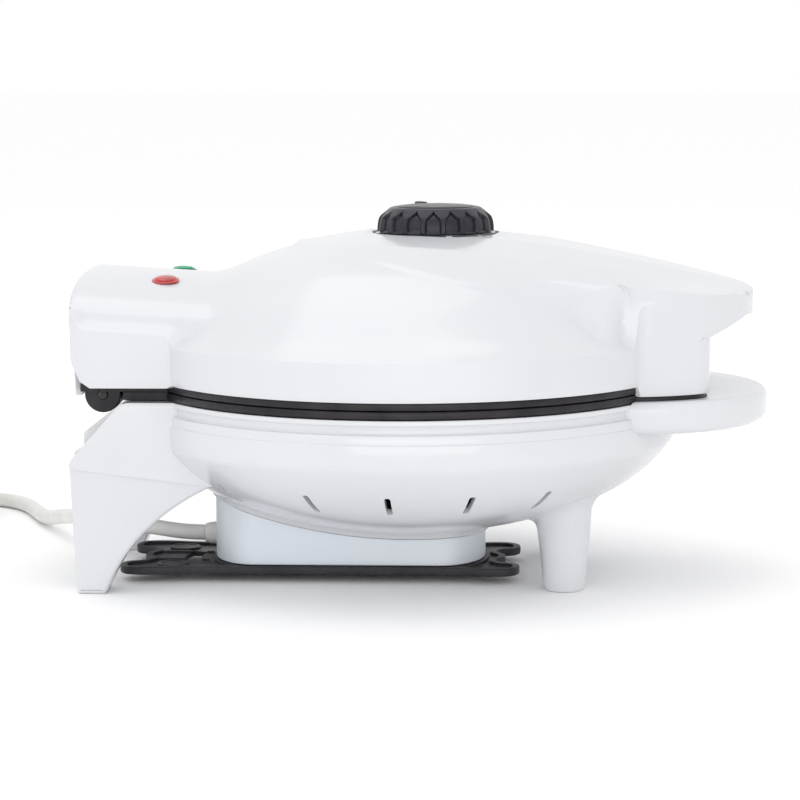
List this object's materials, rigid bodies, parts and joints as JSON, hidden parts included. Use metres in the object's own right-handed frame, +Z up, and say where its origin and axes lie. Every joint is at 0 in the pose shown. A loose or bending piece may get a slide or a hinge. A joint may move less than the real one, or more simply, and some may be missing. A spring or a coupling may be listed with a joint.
{
  "type": "donut maker",
  "caption": "Round clam-shell donut maker with hinged lid, thermostat knob, indicator lamps, front handle and a cord store under the bowl.",
  "frame": {"origin": "centre of the machine's box at floor level, the free lead left out", "axes": "+X towards the front handle, +Z up, hinge at -X with its pins along Y"},
  "size_m": [0.4652, 0.289, 0.166],
  "materials": {
    "white_shell": "semi-gloss moulded",
    "knob_black": "satin moulded",
    "drum_white": "satin moulded",
    "black_plastic": "fine grained",
    "non_stick": "cast, with a satin dark non-stick coating",
    "element_steel": "heat-darkened",
    "aluminium_sheet": "mill finish sheet",
    "steel": "zinc plated",
    "ceramic": "unglazed ceramic",
    "red_lens": "faceted lens",
    "green_lens": "faceted lens",
    "clear_bulb": "clear",
    "cord_sheath": "smooth flexible sheath"
  },
  "bodies": {
    "base": {"lower_shell": "white_shell", "lower_plate_0": "non_stick", "lower_plate_1": "non_stick", "lower_plate_2": "non_stick", "lower_plate_3": "non_stick", "lower_plate_4": "non_stick", "lower_plate_5": "non_stick", "lower_plate_6": "non_stick", "lower_element": "element_steel", "lower_reflector": "aluminium_sheet", "terminal_block": "ceramic", "cord_drum": "drum_white", "cord_tray": "black_plastic", "tray_screw_1": "steel", "tray_screw_2": "steel", "tray_screw_3": "steel", "tray_screw_4": "steel", "lower_plate_screw_1": "steel", "lower_plate_screw_2": "steel", "lower_plate_screw_3": "steel", "lower_plate_screw_4": "steel", "hinge_pin_near": "steel", "hinge_pin_far": "steel", "cord_gland": "cord_sheath", "cord_run": "cord_sheath", "cord_coil": "cord_sheath", "cord_tail": "cord_sheath", "plug_body": "cord_sheath", "plug_pin_1": "steel", "plug_pin_2": "steel"},
    "lid": {"lid_shell": "white_shell", "grip_shell": "white_shell", "grip_underside": "white_shell", "upper_plate_0": "non_stick", "upper_plate_1": "non_stick", "upper_plate_2": "non_stick", "upper_plate_3": "non_stick", "upper_plate_4": "non_stick", "upper_plate_5": "non_stick", "upper_plate_6": "non_stick", "upper_element": "element_steel", "upper_reflector": "aluminium_sheet", "upper_plate_screw_1": "steel", "upper_plate_screw_2": "steel", "upper_plate_screw_3": "steel", "upper_plate_screw_4": "steel", "thermostat": "ceramic", "thermal_fuse": "ceramic", "lamp_lens_red": "red_lens", "lamp_lens_green": "green_lens", "lamp_bulb_red": "clear_bulb", "lamp_bulb_green": "clear_bulb"},
    "knob": {"thermostat_knob": "knob_black", "thermostat_shaft": "steel"}
  },
  "joints": [
    {"name": "lid_hinge", "type": "hinge", "parent": "base", "child": "lid", "pos_m": [-0.13765, 0, 0.0864], "axis": [0, -1, 0], "range_deg": [0, 92]},
    {"name": "knob_turn", "type": "hinge", "parent": "lid", "child": "knob", "pos_m": [0.00465, 0, 0.1536], "axis": [0, 0, -1], "range_deg": [0, 270]}
  ]
}
